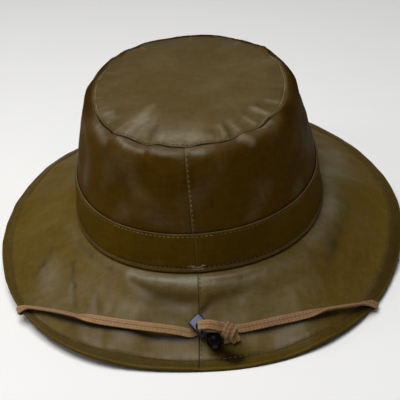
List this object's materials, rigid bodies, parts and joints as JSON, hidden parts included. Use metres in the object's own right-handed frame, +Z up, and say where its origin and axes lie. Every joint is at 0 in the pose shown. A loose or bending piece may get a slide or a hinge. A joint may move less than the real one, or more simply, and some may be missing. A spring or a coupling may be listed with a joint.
{
  "type": "brimmed hat",
  "caption": "Waxed canvas hat with an oval flat-topped crown, a band of the same canvas, a wide drooping brim and a flat chin cord with knot and cord lock.",
  "frame": {"origin": "on the ground the hat lies on, under the middle of the brim", "axes": "+X is the wearer's right, +Y points to the front of the hat, +Z up"},
  "size_m": [0.2944, 0.3094, 0.1239],
  "materials": {
    "waxed_canvas": "brown-olive waxed canvas with a soft greasy sheen",
    "braided_cord": "matt tan flat braid",
    "black_plastic": "smooth glossy black"
  },
  "bodies": {
    "root": {"crown_tip": "waxed_canvas", "crown_side": "waxed_canvas", "hat_band": "waxed_canvas", "brim": "waxed_canvas", "chin_cord_left": "braided_cord", "chin_cord_right": "braided_cord", "chin_cord_knot": "braided_cord", "cord_lock_body": "black_plastic", "cord_lock_button": "black_plastic"}
  },
  "joints": []
}
